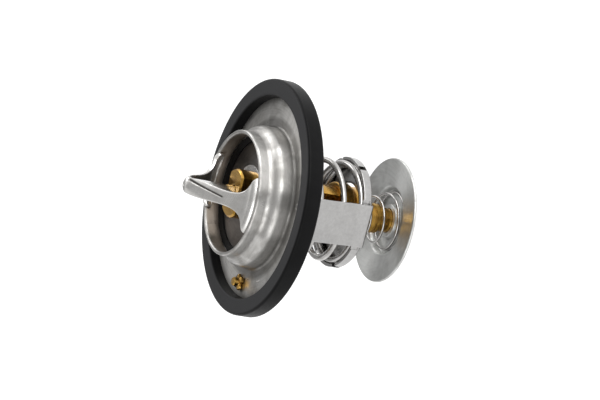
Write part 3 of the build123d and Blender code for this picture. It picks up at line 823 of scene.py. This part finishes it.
# Guide and piston
# The guide is a turned brass bush with two milled flats; it slides on the ground steel piston.
# Its chamfered mouth shows in the neck, under the bridge.
guide_low, guide_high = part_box("guide")
guide_top = guide_high.z / MM
guide_bottom = guide_low.z / MM
guide_radius = 6.8
guide_flat = 4.3
guide_bore = 2.05
mouth_round = 0.5
guide_flange = 7.1
guide_flange_height = 1.2
mouth_half = 0.25
mouth_drop = 0.2
mouth_start = 0.1
bore_chamfer = 0.5
bore_round = 0.15
flat_start = plate_top - 0.05
corner_angle = np.arccos(guide_flat / guide_radius)
flat_corners = [corner_angle, np.pi - corner_angle, np.pi + corner_angle, 2 * np.pi - corner_angle]
guide_angle = np.sort(np.concatenate([full_turn(240), flat_corners]))
no_flat = 1e3
guide_rows = np.array(
    [
        (guide_bore, no_flat, guide_bottom),
        (guide_flange, no_flat, guide_bottom),
        (guide_flange, no_flat, guide_bottom + guide_flange_height),
        (guide_radius, guide_flat, guide_bottom + guide_flange_height),
        (guide_radius, guide_flat, flat_start),
        (guide_radius, guide_flat, guide_top - mouth_round - mouth_start),
        (guide_radius, guide_flat, guide_top - mouth_round),
        (guide_radius - mouth_half, guide_flat - mouth_half, guide_top - mouth_drop),
        (guide_radius - mouth_round, guide_flat - mouth_round, guide_top),
        (guide_bore + bore_chamfer, no_flat, guide_top),
        (guide_bore + bore_round, no_flat, guide_top - bore_round),
        (guide_bore, no_flat, guide_top - bore_chamfer),
    ]
)
flat_limit = guide_rows[None, :, 1] / np.maximum(np.abs(np.cos(guide_angle))[:, None], TINY)
guide_reach = np.minimum(guide_rows[None, :, 0], flat_limit)
guide = skin("guide_bush", round_grid(guide_reach, guide_angle[:, None], guide_rows[None, :, 2]))
smooth(guide, 22)
brass = metal(
    "turned_brass", (0.24, 0.125, 0.03), (0.64, 0.38, 0.085), (0.12, 0.26), ring=0.8, grain=2.2, stain=0.35
)
dress(guide, brass, "element", "guide")
piston_low, piston_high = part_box("piston")
piston_radius = 2.0
crown = piston_high.z / MM - piston_radius
foot_chamfer = 0.4
dome = arc(0, crown, piston_radius, 0, 90, 10)
dome[-1, 0] = 0
piston_bottom = piston_low.z / MM
piston_outline = np.vstack(
    [
        [(0, piston_bottom), (piston_radius - foot_chamfer, piston_bottom)],
        run((piston_radius, piston_bottom + foot_chamfer), (piston_radius, crown), 12),
        dome,
    ]
)
piston = turned("piston_pin", piston_outline, 96)
piston_metal = metal(
    "ground_steel", (0.4, 0.39, 0.38), (0.7, 0.7, 0.69), (0.1, 0.2), ring=0.6, grain=3.0, stain=0.2
)
dress(piston, piston_metal, "housing", "piston")

# Wax cup
# A drawn brass cup, crimped over the guide's flange, with a hollow nose and a solid stem below it.
# The wax, the boot and the backing ring are sealed inside it.
cup_low, cup_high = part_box("wax_cup")
crimp_top = cup_high.z / MM
crimp_radius = cup_high.x / MM
cup_radius = 7.6
cup_wall = 1.0
crimp_height = 3.7
crimp_bottom = crimp_top - crimp_height
cup_side_height = 5.7
cup_bottom = crimp_bottom - cup_side_height
nose_radius = 4.2
nose_length = 5.3
nose_bottom = cup_bottom - nose_length
nose_edge = 0.3
nose_fillet = 0.4
stem_radius = 3.4
stem_chamfer = 0.4
stem_bottom = cup_low.z / MM
cup_corner = 1.2
crimp_round = 0.6
crimp_foot = crimp_round / 2
crimp_gap = 0.05
crimp_mouth = guide_radius + crimp_gap
mouth_bevel = 0.2
clip_low, clip_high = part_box("stem_clip")
clip_gap = 0.05
groove_low = clip_low.z / MM - clip_gap
groove_high = clip_high.z / MM + clip_gap
groove_depth = 0.5
groove_radius = stem_radius - groove_depth
cup_outline = np.vstack(
    [
        [(0, stem_bottom), (stem_radius - stem_chamfer, stem_bottom)],
        [(stem_radius, stem_bottom + stem_chamfer)],
        [(stem_radius, groove_low), (groove_radius, groove_low)],
        [(groove_radius, groove_high), (stem_radius, groove_high)],
        run((stem_radius, groove_high + clip_gap), (stem_radius, nose_bottom), 4)[1:],
        [(stem_radius, nose_bottom), (nose_radius - nose_edge, nose_bottom)],
        arc(nose_radius - nose_edge, nose_bottom + nose_edge, nose_edge, -90, 0, 5),
        run((nose_radius, nose_bottom + nose_edge), (nose_radius, cup_bottom - nose_fillet), 4)[1:],
        arc(nose_radius + nose_fillet, cup_bottom - nose_fillet, nose_fillet, 180, 90, 5),
        arc(cup_radius - cup_corner, cup_bottom + cup_corner, cup_corner, -90, 0, 8),
        run((cup_radius, cup_bottom + cup_corner), (cup_radius, crimp_bottom), 5)[1:],
        [(cup_radius, crimp_bottom)],
        arc(crimp_radius - crimp_foot, crimp_bottom + crimp_foot, crimp_foot, -90, 0, 5),
        arc(crimp_radius - crimp_round, crimp_top - crimp_round, crimp_round, 0, 90, 7),
        run((crimp_radius - crimp_round, crimp_top), (crimp_mouth + mouth_bevel, crimp_top), 3)[1:],
        [(crimp_mouth, crimp_top - mouth_bevel), (crimp_mouth, crimp_top - cup_wall + crimp_gap)],
        [(guide_flange, crimp_top - cup_wall), (guide_flange, guide_bottom - cup_wall)],
        [(cup_radius - cup_wall, guide_bottom - cup_wall), (cup_radius - cup_wall, cup_bottom + cup_wall)],
        [(nose_radius - cup_wall, cup_bottom + cup_wall), (nose_radius - cup_wall, nose_bottom + cup_wall)],
        [(0, nose_bottom + cup_wall)],
    ]
)
cup = turned("brass_cup", cup_outline)
dress(cup, brass, "element", "wax_cup")
clip_outer = 4.25
clip_radii = (groove_radius + clip_gap, clip_outer)
clip_levels = (clip_low.z / MM, clip_high.z / MM)
stem_clip = open_ring("stem_ring", clip_radii, clip_levels, middle=0, opening=60, edge=0.1)
dress(stem_clip, wire_metal, "element", "stem_clip")
inner_finishes = {
    "rubber_boot": (edge_rubber, "boot_rubber"),
    "backing_ring": (rubber("white_plastic", (0.68, 0.67, 0.63), (0.74, 0.73, 0.69)), "backing_plastic"),
    "wax_charge": (rubber("filled_wax", (0.3, 0.15, 0.07), (0.4, 0.22, 0.11)), "wax"),
}
for inner_node, (inner_finish, inner_slot) in inner_finishes.items():
    coated(frame["nodes"][inner_node], inner_finish)

# Bypass disc and spring
# A bright stamped disc with a shallow dish, and a well in its middle that holds the thin conical spring.
# The spring keeps the disc down on the clip at the end of the stem, and lets it give when its port is shut.
disc_low, disc_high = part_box("bypass_disc")
disc_sheet = 0.9
disc_radius = disc_high.x / MM
edge_top = disc_high.z / MM
well_base = disc_low.z / MM + disc_sheet
disc_dish = 0.8
well_top = edge_top - disc_dish
well_radius = 9.6
well_draft = 0.35
well_foot = well_radius - well_draft
hub_outer = 4.75
hub_draft = 0.55
hub_foot = hub_outer + hub_draft
hub_rise = 1.6
hub_top = well_base + hub_rise
hub_gap = 0.12
hub_hole = stem_radius + hub_gap
disc_points = [
    (disc_radius, edge_top),
    (well_radius, well_top),
    (well_foot, well_base),
    (hub_foot, well_base),
    (hub_outer, hub_top),
    (hub_hole, hub_top),
    (hub_hole, hub_top - disc_sheet),
    (hub_outer, hub_top - disc_sheet),
    (hub_foot, well_base - disc_sheet),
    (well_foot + disc_sheet, well_base - disc_sheet),
    (well_radius + disc_sheet, well_top - disc_sheet),
    (disc_radius, edge_top - disc_sheet),
]
disc_rounds = [0.4, 0.7, 0.35, 0.3, 0.35, 0.1, 0.1, 0.2, 0.2, 0.6, 0.2, 0.4]
rim_middle = (np.array(disc_points[-1]) + np.array(disc_points[0])) / 2
disc_outline = rounded_path([rim_middle, *disc_points, rim_middle], disc_rounds, 6, 6)[:-1]
disc = turned("disc", disc_outline)
disc_metal = metal(
    "disc_stainless", (0.3, 0.3, 0.29), (0.64, 0.645, 0.63), (0.3, 0.46), ring=0.7, grain=1.8, stain=0.35
)
dress(disc, disc_metal, "bypass", "bypass_disc")
thin_wire = 0.75
thin_low_radius = 8.175
thin_high_radius = 4.95
bypass_coils = 2.6
bypass_end_coils = 0.8
bypass_start = 285.0
bypass_coil = wire_coil(
    "bypass_coil",
    thin_wire,
    thin_low_radius,
    thin_high_radius,
    well_base,
    cup_bottom,
    bypass_coils,
    bypass_end_coils,
    bypass_start,
    per_turn=64,
)
dress(bypass_coil, wire_metal, "element", "bypass_spring")
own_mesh(bypass_coil)

# Jiggle pin
# A small loose brass rivet in the vent hole, which shakes air past the flange.
# Its front end is staked into four wings, and a tapered plug hangs behind the flange.
pin_low, pin_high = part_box("jiggle_pin")
pin_top = pin_high.z / MM
wing_reach = 2.3
wing_half = 0.85
wing_turn = 35
wing_core = 0.9
wing_height = 0.9
wing_gap = 0.05
wing_bottom = flange_front + wing_gap
wing_top = wing_bottom + wing_height
wing_foot = 0.55
wing_bevel = 0.25
wing_step = 0.15
shank = 1.25
plug_radius = 2.3
plug_tip = 1.3
plug_taper = 1.7
plug_drop = 1.25
plug_top = flange_rear - plug_drop
plug_bottom = pin_low.z / MM
pin_angle = full_turn(192)
around_wing = (pin_angle - np.radians(wing_turn) + np.pi / 4) % (np.pi / 2) - np.pi / 4
wing_r = np.minimum(wing_half / np.maximum(np.abs(np.sin(around_wing)), TINY), wing_reach)
blur = np.hanning(9) / np.hanning(9).sum()
wing_r = np.convolve(np.concatenate([wing_r[-4:], wing_r, wing_r[:4]]), blur, mode="valid")
pin_rows = [
    (0, 0, plug_bottom),
    (plug_tip, 0, plug_bottom),
    (plug_radius, 0, plug_bottom + plug_taper),
    (plug_radius, 0, plug_top),
    (shank, 0, plug_top),
    (shank, 0, wing_bottom),
    (wing_foot, 1, wing_bottom),
    (0.0, 1, wing_bottom + wing_step),
    (0.0, 1, wing_top - wing_bevel),
    (wing_bevel, 1, wing_top),
    (shank, 0, wing_top + wing_step),
    (shank, 0, pin_top - 0.4),
    (shank * 0.8, 0, pin_top - 0.1),
    (shank * 0.4, 0, pin_top),
    (0, 0, pin_top),
]
pin_centre = (0, -vent_radius, 0)
pin_columns = []
for amount, winged, pin_level in pin_rows:
    pin_radius = np.maximum(wing_r - amount, wing_core) if winged else amount + 0 * pin_angle
    pin_columns.append(round_grid(pin_radius, pin_angle, pin_level, pin_centre))
jiggle = skin("vent_rivet", np.stack(pin_columns, 1), close_v=False)
pin_brass = metal(
    "rivet_brass",
    (0.12, 0.06, 0.018),
    (0.7, 0.43, 0.11),
    (0.14, 0.3),
    grain=1.4,
    stain=0.5,
    centre=pin_centre,
)
dress(jiggle, pin_brass, "vent_pin", "jiggle_pin")

# Floor, light and camera
# A white floor keeps the shadow; it lies low enough for the stem to come down, and is clear from below.
# The camera is the photograph's: a long lens from the bridge side, turned to lay the axis across the view.


def square(name, half_side, level=0.0):
    """Flat square round the axis, at a level, in metres."""
    corners = [(x * half_side, y * half_side, level) for x, y in ((-1, -1), (1, -1), (1, 1), (-1, 1))]
    mesh = bpy.data.meshes.new(name)
    mesh.from_pydata(corners, [], [(0, 1, 2, 3)])
    return placed(name, mesh)


floor_half = 4.0
floor_level = disc_low.z - lift
floor = square("floor", floor_half, floor_level)
floor_paint, floor_tree, floor_shader, floor_node = sheen_nodes("white_floor", (0.78, 0.78, 0.78), 0.9, 0.0)
floor.data.materials.append(floor_paint)
floor_glow = 0.55
plain_floor = floor_shader.outputs[0]
floor_rays = floor_node("ShaderNodeLightPath").outputs
floor_seen = reckoned(floor_node, "MAXIMUM", floor_rays["Is Camera Ray"], floor_rays["Is Glossy Ray"])
glow = floor_node("ShaderNodeEmission", [("Color", (1, 1, 1, 1)), ("Strength", floor_glow)]).outputs[0]
bright_floor = floor_node("ShaderNodeAddShader", [(0, plain_floor), (1, glow)]).outputs[0]
seen_floor = [(0, floor_seen), (1, plain_floor), (2, bright_floor)]
from_above = floor_node("ShaderNodeMixShader", seen_floor).outputs[0]
below = floor_node("ShaderNodeNewGeometry").outputs["Backfacing"]
clear = floor_node("ShaderNodeBsdfTransparent").outputs[0]
both_sides = floor_node("ShaderNodeMixShader", [(0, below), (1, from_above), (2, clear)]).outputs[0]
floor_tree.links.new(both_sides, floor_tree.nodes["Material Output"].inputs["Surface"])

grey_cards = {
    "side_card": ((-0.53, -0.1, 0.27), 0.3, 0.42),
    "top_card": ((0.22, -0.1, 0.72), 0.5, 0.5),
}
for card_name, (card_place, card_half, card_glow) in grey_cards.items():
    card = square(card_name, card_half)
    facing = (-Vector(card_place)).to_track_quat("Z", "Y").to_matrix().to_4x4()
    card.data.transform(Matrix.Translation(card_place) @ facing)
    card_paint = bpy.data.materials.new(card_name)
    card_paint.use_nodes = True
    card_tree = card_paint.node_tree
    card_light = node_maker(card_tree)("ShaderNodeEmission", [("Strength", card_glow)]).outputs[0]
    card_tree.links.new(card_light, card_tree.nodes["Material Output"].inputs["Surface"])
    card.data.materials.append(card_paint)
    card.visible_camera = False
    card.visible_diffuse = False
    card.visible_shadow = False
    card.visible_transmission = False

world = bpy.data.worlds.new("studio")
bpy.context.scene.world = world
world.use_nodes = True
air = world.node_tree
air_node = node_maker(air)
ambient = 0.6
rays = air_node("ShaderNodeLightPath").outputs
shown = reckoned(air_node, "MAXIMUM", rays["Is Camera Ray"], rays["Is Transmission Ray"])
mirrored = reckoned(air_node, "MAXIMUM", shown, rays["Is Glossy Ray"])
strength = air_node("ShaderNodeMix", [(0, mirrored), (2, ambient), (3, 1.0)]).outputs[0]
background = air.nodes["Background"]
background.inputs["Color"].default_value = (1, 1, 1, 1)
air.links.new(strength, background.inputs["Strength"])

lamps = {
    "key": ((0.4, 0.8, 0.15), (1.4, 0.34), 8.0),
    "fill": ((0.75, -0.35, 0.3), (0.7, 0.5), 2.0),
    "back": ((-0.6, 0.3, 0.5), (0.5, 0.5), 2.0),
}
for lamp_name, (lamp_place, lamp_size, power) in lamps.items():
    lamp = bpy.data.lights.new(lamp_name, "AREA")
    lamp.shape = "RECTANGLE"
    lamp.size, lamp.size_y = lamp_size
    lamp.energy = power
    lamp_holder = placed(lamp_name, lamp)
    lamp_holder.location = lamp_place
    lamp_holder.rotation_euler = (-Vector(lamp_place)).to_track_quat("-Z", "Y").to_euler()

camera_target = Vector((0.0052, 0.0023, -0.0092))
camera_distance = 0.8242
camera_azimuth = np.radians(10.52)
camera_elevation = np.radians(25.74)
camera_roll = np.radians(79.8)
back_way = Vector(
    (
        np.cos(camera_azimuth) * np.cos(camera_elevation),
        np.sin(camera_azimuth) * np.cos(camera_elevation),
        np.sin(camera_elevation),
    )
)
level_right = Vector((-np.sin(camera_azimuth), np.cos(camera_azimuth), 0))
level_up = back_way.cross(level_right)
up_way = level_up * np.cos(camera_roll) + level_right * np.sin(camera_roll)
right_way = up_way.cross(back_way)
lens = bpy.data.cameras.new("camera")
lens.lens = 180
lens.sensor_width = 36
lens.clip_end = 20
camera = placed("camera", lens)
turned_axes = Matrix((right_way, up_way, back_way)).transposed().to_4x4()
camera.matrix_world = Matrix.Translation(camera_target + back_way * camera_distance) @ turned_axes
bpy.context.scene.camera = camera
bpy.context.scene.view_settings.view_transform = "Standard"
